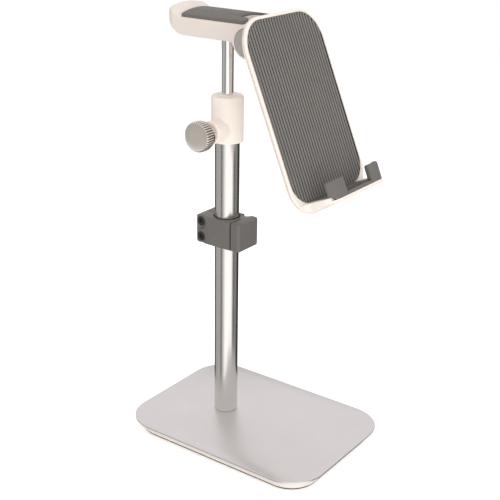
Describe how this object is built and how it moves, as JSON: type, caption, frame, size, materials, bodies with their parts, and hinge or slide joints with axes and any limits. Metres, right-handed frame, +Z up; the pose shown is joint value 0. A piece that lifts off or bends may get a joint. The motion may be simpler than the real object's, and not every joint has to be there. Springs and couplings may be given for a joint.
{
  "type": "phone stand",
  "caption": "Desk phone stand: weighted base, height-adjustable pole, tilting padded tray with hooked shelf, padded headphone hanger and a cable clip on the pole.",
  "frame": {"origin": "centre of the base's underside, on the desk", "axes": "+Z up along the pole, -Y towards the tray and the user, +Y towards the headphone hanger, +X across the base"},
  "size_m": [0.102, 0.1409, 0.2699],
  "materials": {
    "plate_metal": "satin, fine bead blast",
    "tube_metal": "satin anodised",
    "chrome_rod": "polished",
    "knob_metal": "satin, turned and knurled",
    "white_plastic": "fine matt",
    "white_tray": "smooth matt",
    "cap_grey": "smooth matt",
    "silicone": "matt, ribbed",
    "clip_plastic": "fine matt",
    "foot_rubber": "matt",
    "steel": "zinc plated",
    "ballast": "raw steel",
    "brass": "turned",
    "nylon": "smooth"
  },
  "bodies": {
    "stand": {"base_plate": "plate_metal", "base_housing": "white_plastic", "base_weight": "ballast", "base_mat": "foot_rubber", "base_screws": "steel", "pole_tube": "tube_metal", "pole_plug": "steel", "pole_bolt": "steel", "pole_washer": "steel", "collar": "white_plastic", "boss_insert": "brass", "rod_guide": "nylon"},
    "clamp": {"clamp_pad": "nylon"},
    "thumbscrew": {"thumbscrew_knob": "knob_metal", "thumbscrew_stud": "steel"},
    "rod": {"rod": "chrome_rod", "rod_piston": "nylon", "swivel_washer": "steel", "swivel_screw": "steel"},
    "head": {"hanger_shell": "white_plastic", "hanger_cover": "white_plastic", "hanger_cover_screws": "steel", "hanger_pad": "silicone", "swivel_bush": "nylon", "hinge_bolt": "steel", "hinge_nut": "steel", "hinge_spring_washer": "steel", "friction_washers": "steel", "hinge_cap_left": "cap_grey", "hinge_cap_right": "cap_grey"},
    "tray": {"tray_bracket": "white_plastic", "tray_front": "white_tray", "tray_back": "white_tray", "tray_pad": "silicone", "tray_screws": "steel", "shelf_mat": "silicone", "hook_cover_left": "silicone", "hook_cover_right": "silicone"},
    "clip_ring": {"clip_liner": "foot_rubber"},
    "clip": {"clip_shell": "clip_plastic", "clip_frame": "clip_plastic", "clip_screws": "steel", "clip_nuts": "steel"}
  },
  "joints": [
    {"name": "clamp_travel", "type": "slide", "parent": "stand", "child": "clamp", "axis": [-1, 0, 0], "range_m": [0, 0.0014]},
    {"name": "thumbscrew_turn", "type": "hinge", "parent": "clamp", "child": "thumbscrew", "pos_m": [0, 0.0234, 0.1987], "axis": [1, 0, 0], "range_deg": [0, 720]},
    {"name": "rod_height", "type": "slide", "parent": "stand", "child": "rod", "axis": [0, 0, 1], "range_m": [-0.032, 0.06]},
    {"name": "head_swivel", "type": "hinge", "parent": "rod", "child": "head", "pos_m": [0, 0.0234, 0.2554], "axis": [0, 0, 1], "continuous": true},
    {"name": "tray_tilt", "type": "hinge", "parent": "head", "child": "tray", "pos_m": [0, -0.0014, 0.2538], "axis": [-1, 0, 0], "range_deg": [-23, 45]},
    {"name": "clip_height", "type": "slide", "parent": "stand", "child": "clip_ring", "axis": [0, 0, 1], "range_m": [-0.1, 0.04]},
    {"name": "clip_turn", "type": "hinge", "parent": "clip_ring", "child": "clip", "pos_m": [0, 0.0234, 0.134], "axis": [0, 0, 1], "continuous": true}
  ],
  "couplings": [
    {"joint": "thumbscrew_turn", "follows": "clamp_travel", "rad_per_m": 8975}
  ]
}
